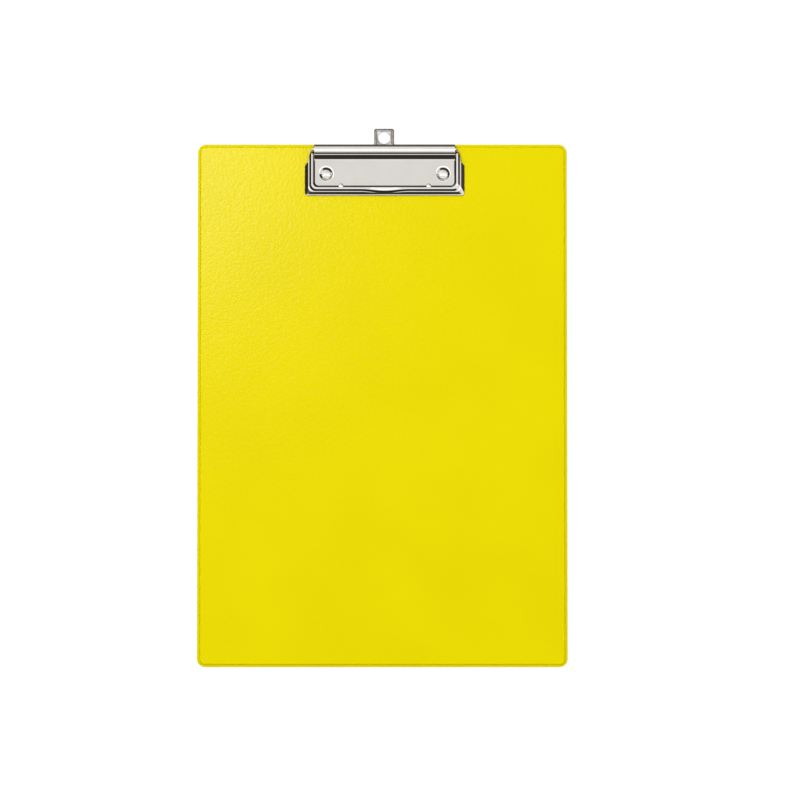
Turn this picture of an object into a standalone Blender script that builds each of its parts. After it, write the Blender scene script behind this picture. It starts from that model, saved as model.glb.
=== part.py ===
"""Clipboard with a spring bow clip: board, clip, hinge, springs and a sliding hanger eye."""
import math

import bmesh
import bpy
from mathutils import Matrix, Vector

MM = 0.001

# Board: an A4 sheet with a margin all round
BOARD_WIDTH = 226.0
BOARD_HEIGHT = 319.5
BOARD_THICKNESS = 3.0
BOARD_CORNER_RADIUS = 5.0
FILM_THICKNESS = 0.35
RIM_WIDTH = 2.9
RIM_EDGE_HEIGHT = 0.95
# Rim from the edge inward, as steps of width and rise: rounded edge, bead, weld line
RIM_STEPS = ((0.35, 0.25), (0.75, 0.1), (0.5, -0.35), (0.35, 0.0))
RIM_RAMP = 0.75
FIT_GAP = 0.1
BOARD_TOP_Y = BOARD_HEIGHT / 2
BOARD_MIDDLE_Z = BOARD_THICKNESS / 2

# Clip: all depths run from the board's top edge, all heights from the board's face
CLIP_X = 1.4
SHEET = 0.6
PLATE_HALF_WIDTH = 43.0
PLATE_DEPTH = 25.9
PLATE_TOP = 2.1
HOOD_LIFT = 0.35
# Slope of the sheet on its way from the flat up to the hood's crown: depth, degrees
HOOD_TILT = ((9.9, 0.0), (9.65, 22.0), (9.0, 27.0), (8.2, 31.0), (7.5, 36.0), (6.9, 51.0), (6.3, 38.0),
             (5.6, 26.0), (5.2, 12.0), (4.6, 7.0), (3.8, 3.0), (2.9, 0.0))

# Hinge: pin through two lugs under the hood and the bow's two knuckles
PIN_DEPTH = 3.3
PIN_HEIGHT = 2.25
PIN_RADIUS = 0.8
PIN_HALF_LENGTH = 43.4
BORE_RADIUS = 0.9
KNUCKLE_RADIUS = 1.55
KNUCKLE_INNER_X = 40.6
COLLAR_RADIUS = 2.1
COLLAR_LENGTH = 1.0
LUG_X = 28.9
LUG_THICKNESS = 0.6
LUG_BACK_DEPTH = 1.9
LUG_FRONT_DEPTH = 4.3
LUG_FOOT = 0.6

# Bow: pressed frame round the plate
NECK_INNER_X = 44.8
NECK_OUTER_X = 46.3
SKIRT_TOP_DEPTH = 11.0
WEB_INNER_X = 43.5
WEB_BACK_DEPTH = 2.2
WEB_FRONT_DEPTH = 10.6
WEB_FOOT = 0.95
LIP_LENGTH = 30.0
LIP_BULGE = 0.8
LIP_DISH = 0.5
LIP_CREST_X = 45.0
PIP_X = 26.8
PIP_RADIUS = 1.65
PIP_FLATNESS = 0.35
PIP_HEIGHT = 3.5

# Rivets in their dimples
RIVET_X = 35.8
RIVET_DEPTH = 18.5
RIVET_HEAD_RADIUS = 2.45
RIVET_SHANK_RADIUS = 1.7
RIVET_TAIL_RADIUS = 3.0
DIMPLE_TOP_RADIUS = 4.9
DIMPLE_FLOOR_RADIUS = 2.8
DIMPLE_FOOT = 0.15
RIVET_EDGE_HEIGHT = 0.3
RIVET_BELOW_PLATE = 0.4
TAIL_THICKNESS = 0.5

# Springs: wound round the pin between lug and knuckle
WIRE_RADIUS = 0.35
COIL_RADIUS = 1.5
COIL_TURNS = 8
COIL_START_X = 30.4
COIL_END_X = 39.9
POINTS_PER_TURN = 10
LEG_END_INSET = 0.6
NOTCH_WIDTH = 1.1

# Hanger eye: tab that slides out under the hood
HANGER_WIDTH = 12.2
HANGER_REACH = 9.5
HANGER_TAIL_DEPTH = 10.0
HANGER_TAIL_WIDTH = 18.0
HANGER_SHOULDER_DEPTH = 0.95
HANGER_BOTTOM = 0.25
HANGER_SHEET = 0.55
HANGER_RIM = 0.35
HANGER_RIM_WIDTH = 1.1
HANGER_RIM_SLOPE = 0.25
HANGER_RIM_ROUND = 0.15
HANGER_CORNER_RADIUS = 1.2
HANGER_HOLE_RADIUS = 3.7
HANGER_HOLE_REACH = 3.9
HANGER_SLOT_HALF_WIDTH = 6.5
HANGER_SLOT_HEIGHT = 1.45

for stale in list(bpy.data.objects):
    bpy.data.objects.remove(stale, do_unlink=True)

PARTS = bpy.data.collections.new("clipboard")
CUTTERS = bpy.data.collections.new("cutters")
for group in (PARTS, CUTTERS):
    bpy.context.scene.collection.children.link(group)


def at(x, depth, height):
    """Point in metres from clip coordinates: across, below the top edge, above the board's face."""
    return Vector(((CLIP_X + x) * MM, (BOARD_TOP_Y - depth) * MM, (BOARD_THICKNESS + height) * MM))


def material(name, colour, roughness, metallic):
    made = bpy.data.materials.new(name)
    made.use_nodes = True
    shader = made.node_tree.nodes["Principled BSDF"]
    shader.inputs["Base Color"].default_value = (*colour, 1.0)
    shader.inputs["Roughness"].default_value = roughness
    shader.inputs["Metallic"].default_value = metallic
    made.diffuse_color = (*colour, 1.0)
    return made


def add(name, bm, look=None, smooth=False, origin=None):
    """Turn a bmesh into a named part, or into a hidden cutter when it has no look."""
    bmesh.ops.recalc_face_normals(bm, faces=bm.faces)
    mesh = bpy.data.meshes.new(name)
    bm.to_mesh(mesh)
    bm.free()
    piece = bpy.data.objects.new(name, mesh)
    if origin is not None:
        mesh.transform(Matrix.Translation(-origin))
        piece.location = origin
    if look is None:
        CUTTERS.objects.link(piece)
        piece.hide_render = True
        piece.display_type = "WIRE"
        return piece
    PARTS.objects.link(piece)
    mesh.materials.append(look)
    for face in mesh.polygons:
        face.use_smooth = smooth
    return piece


def combine(piece, tool, operation):
    step = piece.modifiers.new(tool.name, "BOOLEAN")
    step.operation = operation
    step.solver = "EXACT"
    step.object = tool
    return step


def box(low, high):
    bm = bmesh.new()
    bmesh.ops.create_cube(bm, size=1.0)
    span = high - low
    size = Vector((abs(span.x), abs(span.y), abs(span.z)))
    bmesh.ops.scale(bm, vec=size, verts=bm.verts)
    bmesh.ops.translate(bm, vec=(low + high) / 2, verts=bm.verts)
    return bm


def cone(centre_low, height, radius_low, radius_high, sides=32):
    """Upright cone or cylinder that stands on a point; sizes in millimetres."""
    bm = bmesh.new()
    bmesh.ops.create_cone(bm, cap_ends=True, segments=sides, radius1=radius_low * MM,
                          radius2=radius_high * MM, depth=height * MM)
    bmesh.ops.translate(bm, vec=centre_low + Vector((0, 0, height * MM / 2)), verts=bm.verts)
    return bm


def rod(x_low, x_high, radius, sides):
    """Cylinder on the hinge axis between two positions across the clip."""
    bm = bmesh.new()
    bmesh.ops.create_cone(bm, cap_ends=True, segments=sides, radius1=radius * MM,
                          radius2=radius * MM, depth=(x_high - x_low) * MM)
    bmesh.ops.rotate(bm, matrix=Matrix.Rotation(math.pi / 2, 3, "Y"), verts=bm.verts)
    middle = at((x_low + x_high) / 2, PIN_DEPTH, PIN_HEIGHT)
    bmesh.ops.translate(bm, vec=middle, verts=bm.verts)
    return bm


def rounded_face(bm, width, height, radius, centre, segments):
    """Flat face with rounded corners, made from a grid cell by rounding its corners."""
    bmesh.ops.create_grid(bm, x_segments=1, y_segments=1, size=0.5)
    bmesh.ops.scale(bm, vec=Vector((width * MM, height * MM, 1)), verts=bm.verts)
    bmesh.ops.translate(bm, vec=centre, verts=bm.verts)
    bmesh.ops.bevel(bm, geom=list(bm.verts), offset=radius * MM, segments=segments,
                    profile=0.5, affect="VERTICES")
    return bm.faces[:][0]


def raise_face(bm, face, height, keep=True):
    """Extrude one face upward and return the new top face; the old one stays only to close a base."""
    made = bmesh.ops.extrude_face_region(bm, geom=[face])["geom"]
    top = [item for item in made if isinstance(item, bmesh.types.BMFace)][0]
    bmesh.ops.translate(bm, vec=Vector((0, 0, height * MM)), verts=top.verts)
    if not keep:
        bmesh.ops.delete(bm, geom=[face], context="FACES_ONLY")
    return top


def inset(bm, face, width, height):
    """Inset one face and lift what is left of it."""
    bmesh.ops.inset_region(bm, faces=[face], thickness=width * MM, use_even_offset=True,
                           use_boundary=True)
    bmesh.ops.translate(bm, vec=Vector((0, 0, height * MM)), verts=face.verts)
    return face


def film(name, look, upper):
    """Film with a rounded, welded rim and a pressed line inside it; the lower film is turned over."""
    bm = bmesh.new()
    seam = FIT_GAP / 2
    centre = Vector((0, 0, (BOARD_MIDDLE_Z + seam) * MM))
    under = rounded_face(bm, BOARD_WIDTH, BOARD_HEIGHT, BOARD_CORNER_RADIUS, centre, 6)
    face = raise_face(bm, under, RIM_EDGE_HEIGHT)
    for width, height in RIM_STEPS:
        inset(bm, face, width, height)
    risen = RIM_EDGE_HEIGHT + sum(height for width, height in RIM_STEPS)
    inset(bm, face, RIM_RAMP, BOARD_MIDDLE_Z - seam - risen)
    inset(bm, under, RIM_WIDTH, 0.0)
    raise_face(bm, under, BOARD_MIDDLE_Z - seam - FILM_THICKNESS, keep=False)
    bmesh.ops.remove_doubles(bm, verts=bm.verts, dist=1e-6)
    if not upper:
        flip = Matrix.Scale(-1, 4, Vector((0, 0, 1)))
        bm.transform(Matrix.Translation(Vector((0, 0, BOARD_THICKNESS * MM))) @ flip)
    return add(name, bm, look)


def hood_line():
    """Outer side of the plate's sheet from front edge over the hood to the back edge: depth, height."""
    line = [(PLATE_DEPTH, PLATE_TOP), (HOOD_TILT[0][0], PLATE_TOP)]
    for (depth, tilt), (next_depth, next_tilt) in zip(HOOD_TILT, HOOD_TILT[1:]):
        rise = (depth - next_depth) * math.tan(math.radians((tilt + next_tilt) / 2))
        line.append((next_depth, line[-1][1] + rise))
    crown_depth, crown_height = line[-1]
    steps = 6
    for i in range(1, steps + 1):
        turn = math.pi / 2 * i / steps
        line.append((crown_depth - crown_depth * math.sin(turn),
                     crown_height - crown_depth * (1 - math.cos(turn))))
    line.append((0.0, HOOD_LIFT))
    return line, crown_height


def lip(x):
    """Share of the finger lip's bulge at a position across the bow."""
    if abs(x) >= LIP_LENGTH / 2:
        return 0.0
    return math.cos(math.pi * x / LIP_LENGTH) ** 2


# Bow section, inner edge outward: half width, depth, corner radius, height, lip share, lift on the bar
BOW_SECTION = (
    (42.55, 25.65, 2.3, 2.8, 0.0, 0.35),
    (42.95, 26.05, 2.5, 3.2, 0.0, 0.25),
    (43.4, 26.5, 2.7, 3.62, 0.0, 0.12),
    (43.8, 26.85, 2.9, 3.9, 0.0, 0.04),
    (44.3, 27.35, 3.1, 4.05, 0.15, 0.0),
    (44.8, 27.85, 3.3, 3.95, 0.9, 0.0),
    (45.35, 28.35, 3.5, 3.55, 1.0, 0.0),
    (45.85, 28.8, 3.6, 3.1, 1.0, 0.0),
    (46.15, 29.05, 3.6, 2.92, 1.0, 0.0),
    (46.5, 29.35, 3.5, 2.87, 0.85, 0.0),
    (46.8, 29.6, 3.2, 2.74, 0.7, 0.0),
    (47.2, 30.0, 2.8, 2.38, 0.55, 0.0),
    (47.7, 30.45, 2.3, 1.93, 0.35, 0.02),
    (48.05, 30.75, 2.1, 1.61, 0.25, 0.1),
    (48.4, 31.05, 1.9, 1.29, 0.12, 0.27),
    (48.8, 31.4, 1.8, 0.93, 0.0, 0.5),
)
ARM_DEPTHS = (1.75, 4.5, 8.0, 13.0, 18.5)
LIP_STEPS = 14
CORNER_STEPS = 6


def bow_row(half_width, depth, radius, height, share, lift):
    """One line of the bow's sheet: down the left arm, round the corners, up the right arm."""
    left = [(-half_width, arm, height) for arm in ARM_DEPTHS]
    for i in range(CORNER_STEPS + 1):
        turn = math.pi / 2 * i / CORNER_STEPS
        left.append((-half_width + radius * (1 - math.cos(turn)), depth - radius * (1 - math.sin(turn)),
                     height + lift * math.sin(turn) ** 4))
    middle = []
    for i in range(LIP_STEPS + 1):
        x = LIP_LENGTH * (i / LIP_STEPS - 0.5)
        dish = LIP_DISH * share * (1 - share) * 4 * lip(x) if half_width < LIP_CREST_X else 0.0
        middle.append((x, depth + LIP_BULGE * share * lip(x), height + lift - dish))
    right = [(-x, y, z) for x, y, z in reversed(left)]
    return [at(*point) for point in left + middle + right]


def bow_sheet():
    """Loft of the bow's outer surface; its rows turn the corners at unlike radii."""
    bm = bmesh.new()
    rows = []
    for station in BOW_SECTION:
        rows.append([bm.verts.new(point) for point in bow_row(*station)])
    for near, far in zip(rows, rows[1:]):
        for i in range(len(near) - 1):
            bm.faces.new((near[i], near[i + 1], far[i + 1], far[i]))
    return bm


def outline_prism(points, low, high):
    """Upright prism over an outline given as positions across and depths; also its mirror image."""
    bm = bmesh.new()
    for side in (-1, 1):
        corners = [bm.verts.new(at(side * x, depth, low)) for x, depth in points]
        bottom = bm.faces.new(corners)
        made = bmesh.ops.extrude_face_region(bm, geom=[bottom])["geom"]
        lifted = [item for item in made if isinstance(item, bmesh.types.BMVert)]
        bmesh.ops.translate(bm, vec=Vector((0, 0, (high - low) * MM)), verts=lifted)
    return bm


def both_sides(make):
    """Join what one maker gives for the left and the right side."""
    whole = bmesh.new()
    for side in (-1, 1):
        half = make(side)
        scratch = bpy.data.meshes.new("side")
        half.to_mesh(scratch)
        half.free()
        whole.from_mesh(scratch)
        bpy.data.meshes.remove(scratch)
    return whole


def span_rod(side, x_low, x_high, radius, sides):
    low, high = sorted((side * x_low, side * x_high))
    return rod(low, high, radius, sides)


def side_box(side, x_low, x_high, depth_low, depth_high, low, high):
    return box(at(side * x_low, depth_low, low), at(side * x_high, depth_high, high))


film_look = material("yellow PVC film", (0.80, 0.69, 0.0), 0.4, 0.0)
board_look = material("grey board", (0.36, 0.34, 0.31), 0.9, 0.0)
plate_look = material("bright nickel plate", (0.72, 0.70, 0.68), 0.14, 1.0)
bow_look = material("bright nickel bow", (0.72, 0.70, 0.68), 0.12, 1.0)
steel_look = material("ground steel pin", (0.55, 0.55, 0.55), 0.3, 1.0)
wire_look = material("spring wire", (0.38, 0.38, 0.40), 0.35, 1.0)
rivet_look = material("nickel rivet", (0.75, 0.73, 0.70), 0.18, 1.0)
hanger_look = material("nickel hanger", (0.68, 0.67, 0.66), 0.2, 1.0)

# Board: core between two welded films
front_film = film("front_film", film_look, True)
back_film = film("back_film", film_look.copy(), False)

core_bm = bmesh.new()
core_inset = 2 * (RIM_WIDTH + FIT_GAP)
core_bottom = FILM_THICKNESS + FIT_GAP
core_face = rounded_face(core_bm, BOARD_WIDTH - core_inset, BOARD_HEIGHT - core_inset,
                         BOARD_CORNER_RADIUS - RIM_WIDTH, Vector((0, 0, core_bottom * MM)), 4)
raise_face(core_bm, core_face, BOARD_THICKNESS - 2 * core_bottom)
board_core = add("board_core", core_bm, board_look)

SHANK_HOLE_RADIUS = RIVET_SHANK_RADIUS + 2 * FIT_GAP
TAIL_HOLE_RADIUS = RIVET_TAIL_RADIUS + 3 * FIT_GAP
TAIL_TOP = FIT_GAP + TAIL_THICKNESS - BOARD_THICKNESS


def shank_hole(side):
    return cone(at(side * RIVET_X, RIVET_DEPTH, -BOARD_THICKNESS - 1), BOARD_THICKNESS + 3,
                SHANK_HOLE_RADIUS, SHANK_HOLE_RADIUS, 24)


def tail_hole(side):
    return cone(at(side * RIVET_X, RIVET_DEPTH, -BOARD_THICKNESS - 1),
                1 + FIT_GAP + TAIL_THICKNESS + 2 * FIT_GAP, TAIL_HOLE_RADIUS, TAIL_HOLE_RADIUS, 24)


shank_holes = add("shank_holes", both_sides(shank_hole))
tail_holes = add("tail_holes", both_sides(tail_hole))
for layer in (front_film, board_core):
    combine(layer, shank_holes, "DIFFERENCE")
for layer in (back_film, board_core):
    combine(layer, tail_holes, "DIFFERENCE")

# Base plate: bent sheet, hinge lugs, dimples and the hanger's slot
line, CROWN_HEIGHT = hood_line()
plate_bm = bmesh.new()
previous = None
for depth, height in line:
    vert = plate_bm.verts.new(at(-PLATE_HALF_WIDTH, depth, height))
    if previous is not None:
        plate_bm.edges.new((previous, vert))
    previous = vert
swept = bmesh.ops.extrude_edge_only(plate_bm, edges=plate_bm.edges)["geom"]
swept_verts = [item for item in swept if isinstance(item, bmesh.types.BMVert)]
bmesh.ops.translate(plate_bm, vec=Vector((2 * PLATE_HALF_WIDTH * MM, 0, 0)), verts=swept_verts)
clip_base_plate = add("clip_base_plate", plate_bm, plate_look)
first_face = clip_base_plate.data.polygons[0]
thicken = clip_base_plate.modifiers.new("sheet", "SOLIDIFY")
thicken.thickness = SHEET * MM
thicken.offset = -1.0 if first_face.normal.z > 0 else 1.0
thicken.use_even_offset = True


def lug(side):
    return side_box(side, LUG_X, LUG_X + LUG_THICKNESS, LUG_BACK_DEPTH, LUG_FRONT_DEPTH,
                    LUG_FOOT, CROWN_HEIGHT - 0.75 * SHEET)


def dimple_shell(side):
    return cone(at(side * RIVET_X, RIVET_DEPTH, DIMPLE_FOOT), PLATE_TOP - DIMPLE_FOOT - SHEET / 2,
                DIMPLE_FLOOR_RADIUS, DIMPLE_TOP_RADIUS + FIT_GAP)


def dimple_hollow(side):
    floor = DIMPLE_FOOT + SHEET
    return cone(at(side * RIVET_X, RIVET_DEPTH, floor), PLATE_TOP - floor + FIT_GAP / 5,
                DIMPLE_FLOOR_RADIUS - FIT_GAP / 2, DIMPLE_TOP_RADIUS)


def lug_bore(side):
    return span_rod(side, LUG_X - 1, LUG_X + LUG_THICKNESS + 1, BORE_RADIUS, 24)


def lug_notch(side):
    half = NOTCH_WIDTH / 2
    return side_box(side, LUG_X - 1, LUG_X + LUG_THICKNESS + 1, PIN_DEPTH - half, PIN_DEPTH + half,
                    0.2, PIN_HEIGHT - COIL_RADIUS + half)


combine(clip_base_plate, add("lugs", both_sides(lug)), "UNION")
combine(clip_base_plate, add("dimple_shells", both_sides(dimple_shell)), "UNION")
combine(clip_base_plate, add("dimple_hollows", both_sides(dimple_hollow)), "DIFFERENCE")
combine(clip_base_plate, shank_holes, "DIFFERENCE")
combine(clip_base_plate, add("lug_bores", both_sides(lug_bore)), "DIFFERENCE")
combine(clip_base_plate, add("lug_notches", both_sides(lug_notch)), "DIFFERENCE")
hanger_slot = add("hanger_slot", box(at(-HANGER_SLOT_HALF_WIDTH, -1, -0.5),
                                     at(HANGER_SLOT_HALF_WIDTH, 1.2, HANGER_SLOT_HEIGHT)))
combine(clip_base_plate, hanger_slot, "DIFFERENCE")

# Bow: lofted sheet, necks and knuckles on the pin
HINGE = at(0, PIN_DEPTH, PIN_HEIGHT)
clamp_bow = add("clamp_bow", bow_sheet(), bow_look, origin=HINGE)
crown_face = max(clamp_bow.data.polygons, key=lambda face: face.center.z)
wall = clamp_bow.modifiers.new("sheet", "SOLIDIFY")
wall.thickness = SHEET * MM
wall.offset = -1.0 if crown_face.normal.z > 0 else 1.0
wall.use_even_offset = True

# Outlines cut away from the arms: above the skirt on the outside, beside the plate on the inside
NECK_CUT = ((43.55, -4.0), (55.0, -4.0), (55.0, 14.0), (48.6, 12.6), (47.8, 11.5), (46.9, SKIRT_TOP_DEPTH),
            (NECK_OUTER_X, 10.8), (NECK_OUTER_X, 8.0), (45.9, 6.0), (45.2, 4.4), (44.4, 3.4), (43.4, 2.9))
INNER_CUT = ((41.0, -4.0), (NECK_INNER_X, -4.0), (NECK_INNER_X, 9.6), (43.3, SKIRT_TOP_DEPTH),
             (41.0, SKIRT_TOP_DEPTH))
CUT_BOTTOM = -2.0
CUT_TOP = 8.0
# Section of the web under each neck, which slopes down towards the plate: position across, height
WEB_SECTION = ((WEB_INNER_X, WEB_FOOT), (45.2, WEB_FOOT), (45.2, 3.4), (NECK_INNER_X, 3.4),
               (WEB_INNER_X, 1.5))


def web(side):
    bm = bmesh.new()
    corners = [bm.verts.new(at(side * x, WEB_BACK_DEPTH, height)) for x, height in WEB_SECTION]
    made = bmesh.ops.extrude_face_region(bm, geom=[bm.faces.new(corners)])["geom"]
    moved = [item for item in made if isinstance(item, bmesh.types.BMVert)]
    run = Vector((0, (WEB_BACK_DEPTH - WEB_FRONT_DEPTH) * MM, 0))
    bmesh.ops.translate(bm, vec=run, verts=moved)
    bmesh.ops.recalc_face_normals(bm, faces=bm.faces)
    return bm


def knuckle(side):
    return span_rod(side, KNUCKLE_INNER_X, WEB_INNER_X + 0.3, KNUCKLE_RADIUS, 24)


def collar(side):
    return span_rod(side, KNUCKLE_INNER_X, KNUCKLE_INNER_X + COLLAR_LENGTH, COLLAR_RADIUS, 24)


def knuckle_bore(side):
    return span_rod(side, KNUCKLE_INNER_X - 1, PIN_HALF_LENGTH + 0.3, BORE_RADIUS, 24)


def collar_notch(side):
    half = NOTCH_WIDTH / 2
    return side_box(side, KNUCKLE_INNER_X - 1, KNUCKLE_INNER_X + COLLAR_LENGTH + 0.2, PIN_DEPTH - half,
                    PIN_DEPTH + half, -0.5, PIN_HEIGHT - COIL_RADIUS + half)


def pip(side):
    bm = bmesh.new()
    bmesh.ops.create_uvsphere(bm, u_segments=16, v_segments=8, radius=PIP_RADIUS * MM)
    bmesh.ops.scale(bm, vec=Vector((1, 1, PIP_FLATNESS)), verts=bm.verts)
    bmesh.ops.translate(bm, vec=at(side * PIP_X, BOW_SECTION[1][1], PIP_HEIGHT), verts=bm.verts)
    return bm


combine(clamp_bow, add("inner_cuts", outline_prism(INNER_CUT, CUT_BOTTOM, CUT_TOP)), "DIFFERENCE")
combine(clamp_bow, add("webs", both_sides(web)), "UNION")
combine(clamp_bow, add("neck_cuts", outline_prism(NECK_CUT, CUT_BOTTOM, CUT_TOP)), "DIFFERENCE")
combine(clamp_bow, add("knuckles", both_sides(knuckle)), "UNION")
combine(clamp_bow, add("collars", both_sides(collar)), "UNION")
combine(clamp_bow, add("pips", both_sides(pip)), "UNION")
combine(clamp_bow, add("knuckle_bores", both_sides(knuckle_bore)), "DIFFERENCE")
combine(clamp_bow, add("collar_notches", both_sides(collar_notch)), "DIFFERENCE")

hinge_pin = add("hinge_pin", rod(-PIN_HALF_LENGTH, PIN_HALF_LENGTH, PIN_RADIUS, 20), steel_look,
                smooth=True)


def spring_points(side):
    """Helix round the pin that starts and ends at its lowest point, with a straight leg along the pin."""
    count = COIL_TURNS * POINTS_PER_TURN
    points = [at(side * (LUG_X + LUG_THICKNESS / 2), PIN_DEPTH, PIN_HEIGHT - COIL_RADIUS)]
    points.append(at(side * (COIL_START_X - WIRE_RADIUS), PIN_DEPTH, PIN_HEIGHT - COIL_RADIUS))
    for i in range(count + 1):
        turn = 2 * math.pi * i / count * COIL_TURNS - math.pi / 2
        x = COIL_START_X + (COIL_END_X - COIL_START_X) * i / count
        points.append(at(side * x, PIN_DEPTH + COIL_RADIUS * math.cos(turn),
                         PIN_HEIGHT + COIL_RADIUS * math.sin(turn)))
    points.append(at(side * (COIL_END_X + WIRE_RADIUS), PIN_DEPTH, PIN_HEIGHT - COIL_RADIUS))
    points.append(at(side * (KNUCKLE_INNER_X + LEG_END_INSET), PIN_DEPTH, PIN_HEIGHT - COIL_RADIUS))
    return points


def spring(name, side):
    points = spring_points(side)
    far = int(0.75 * POINTS_PER_TURN)
    least = min((a - b).length for i, a in enumerate(points) for b in points[i + far:])
    print(name, "least self gap mm", round(least / MM - 2 * WIRE_RADIUS, 3))
    path = bpy.data.curves.new(name, "CURVE")
    path.dimensions = "3D"
    path.bevel_depth = WIRE_RADIUS * MM
    path.bevel_resolution = 1
    path.use_fill_caps = True
    strand = path.splines.new("POLY")
    strand.points.add(len(points) - 1)
    for knot, point in zip(strand.points, points):
        knot.co = (*point, 1.0)
    wire = bpy.data.objects.new(name + "_path", path)
    PARTS.objects.link(wire)
    bpy.context.view_layer.update()
    evaluated = wire.evaluated_get(bpy.context.evaluated_depsgraph_get())
    mesh = bpy.data.meshes.new_from_object(evaluated)
    bpy.data.objects.remove(wire, do_unlink=True)
    bm = bmesh.new()
    bm.from_mesh(mesh)
    bpy.data.meshes.remove(mesh)
    bmesh.ops.remove_doubles(bm, verts=bm.verts, dist=1e-6)
    return add(name, bm, wire_look.copy(), smooth=True)


spring("torsion_spring_left", -1)
spring("torsion_spring_right", 1)


def rivet(name, side):
    """Turned rivet: domed head in the dimple, shank through the board, tail pressed level at the back."""
    head_base = DIMPLE_FOOT + SHEET + FIT_GAP
    dome_base = head_base + RIVET_EDGE_HEIGHT
    dome_height = PLATE_TOP - RIVET_BELOW_PLATE - dome_base
    steps = 5
    outline = []
    for i in range(steps + 1):
        turn = math.pi / 2 * i / steps
        outline.append((RIVET_HEAD_RADIUS * math.sin(turn), dome_base + dome_height * math.cos(turn)))
    outline.append((RIVET_HEAD_RADIUS, head_base))
    outline.append((RIVET_SHANK_RADIUS, head_base))
    outline.append((RIVET_SHANK_RADIUS, TAIL_TOP))
    outline.append((RIVET_TAIL_RADIUS, TAIL_TOP))
    outline.append((RIVET_TAIL_RADIUS, TAIL_TOP - TAIL_THICKNESS))
    outline.append((0.0, TAIL_TOP - TAIL_THICKNESS))
    bm = bmesh.new()
    verts = [bm.verts.new(Vector((r * MM, 0, z * MM))) for r, z in outline]
    edges = [bm.edges.new(pair) for pair in zip(verts, verts[1:])]
    bmesh.ops.spin(bm, geom=verts + edges, cent=(0, 0, 0), axis=(0, 0, 1), angle=2 * math.pi,
                   steps=28, use_merge=True)
    bmesh.ops.remove_doubles(bm, verts=bm.verts, dist=1e-6)
    bmesh.ops.translate(bm, vec=at(side * RIVET_X, RIVET_DEPTH, 0), verts=bm.verts)
    return add(name, bm, rivet_look.copy(), smooth=True)


rivet("rivet_left", -1)
rivet("rivet_right", 1)

# Hanger eye: tab with a raised rim, a hook hole and a wide tail that stops it in the slot
tab_bm = bmesh.new()
tab_middle = (HANGER_TAIL_DEPTH - HANGER_REACH) / 2
tab_face = rounded_face(tab_bm, HANGER_WIDTH, HANGER_REACH + HANGER_TAIL_DEPTH, HANGER_CORNER_RADIUS,
                        at(0, tab_middle, HANGER_BOTTOM), 4)
tab_top = raise_face(tab_bm, tab_face, HANGER_SHEET + HANGER_RIM - HANGER_RIM_ROUND)
inset(tab_bm, tab_top, HANGER_RIM_SLOPE, HANGER_RIM_ROUND)
inset(tab_bm, tab_top, HANGER_RIM_WIDTH - 2 * HANGER_RIM_SLOPE, 0.0)
inset(tab_bm, tab_top, HANGER_RIM_SLOPE, -HANGER_RIM)
hanger_eye = add("hanger_eye", tab_bm, hanger_look, origin=at(0, 0, HANGER_BOTTOM))
tail_plate = box(at(-HANGER_TAIL_WIDTH / 2, HANGER_SHOULDER_DEPTH, HANGER_BOTTOM + 0.02),
                 at(HANGER_TAIL_WIDTH / 2, HANGER_TAIL_DEPTH - 0.4, HANGER_BOTTOM + HANGER_SHEET - 0.05))
combine(hanger_eye, add("hanger_tail", tail_plate), "UNION")
eye_hole = cone(at(0, -HANGER_HOLE_REACH, -1), 4, HANGER_HOLE_RADIUS, HANGER_HOLE_RADIUS, 32)
combine(hanger_eye, add("hook_hole", eye_hole), "DIFFERENCE")

bpy.context.view_layer.update()
for piece in sorted(PARTS.objects, key=lambda item: item.name):
    print(piece.name, "made")
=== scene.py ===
# %% [markdown]
# # A film-covered clipboard with a spring bow clip
#
# The board is a sheet of stiff grey card welded between two plastic films. At its top edge sits a clip
# pressed from bright plated steel: a flat base plate with a rolled hood, a bow that turns on a hidden pin,
# two rivets and a hanger eye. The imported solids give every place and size; this lesson dresses them.

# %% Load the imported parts
import math

import bmesh
import bpy
from mathutils import Matrix, Vector


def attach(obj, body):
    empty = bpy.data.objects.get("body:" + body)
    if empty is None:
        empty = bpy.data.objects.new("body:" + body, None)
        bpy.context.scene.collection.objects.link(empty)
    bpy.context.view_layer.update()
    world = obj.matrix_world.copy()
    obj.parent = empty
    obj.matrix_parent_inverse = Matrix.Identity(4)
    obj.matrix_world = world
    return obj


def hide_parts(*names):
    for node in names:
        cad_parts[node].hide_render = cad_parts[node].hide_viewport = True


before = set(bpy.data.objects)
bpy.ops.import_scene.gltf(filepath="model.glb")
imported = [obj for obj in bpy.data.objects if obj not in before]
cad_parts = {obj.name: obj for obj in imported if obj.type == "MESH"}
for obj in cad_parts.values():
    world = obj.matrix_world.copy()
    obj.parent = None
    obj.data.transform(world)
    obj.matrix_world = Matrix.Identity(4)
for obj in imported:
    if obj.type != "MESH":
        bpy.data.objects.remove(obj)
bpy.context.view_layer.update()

MM = 0.001

# %% [markdown]
# ## Shared sizes
#
# The same real sizes drive the solids. Positions on the clip are easiest to think of as three numbers:
# how far across from the clip's middle, how far below the board's top edge, and how high above its face.

# %% Sizes in millimetres
BOARD_WIDTH = 226.0
BOARD_HEIGHT = 319.5
BOARD_THICKNESS = 3.0
CORNER_RADIUS = 5.0
CLIP_X = 1.4
SHEET = 0.6
PIN_DEPTH = 3.3
PIN_HEIGHT = 2.25


def at(x, depth, height):
    """Point in metres from clip coordinates: across, below the top edge, above the board's face."""
    return Vector(((CLIP_X + x) * MM, (BOARD_HEIGHT / 2 - depth) * MM, (BOARD_THICKNESS + height) * MM))


print("hinge axis passes", tuple(round(v, 5) for v in at(0, PIN_DEPTH, PIN_HEIGHT)))

# %% [markdown]
# ## Helpers for nodes
#
# One function adds a node with its settings and links, for materials, the world and geometry alike. Shaders
# count light in linear values while colours are easier to pick as hex codes, so a second one converts them.

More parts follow.
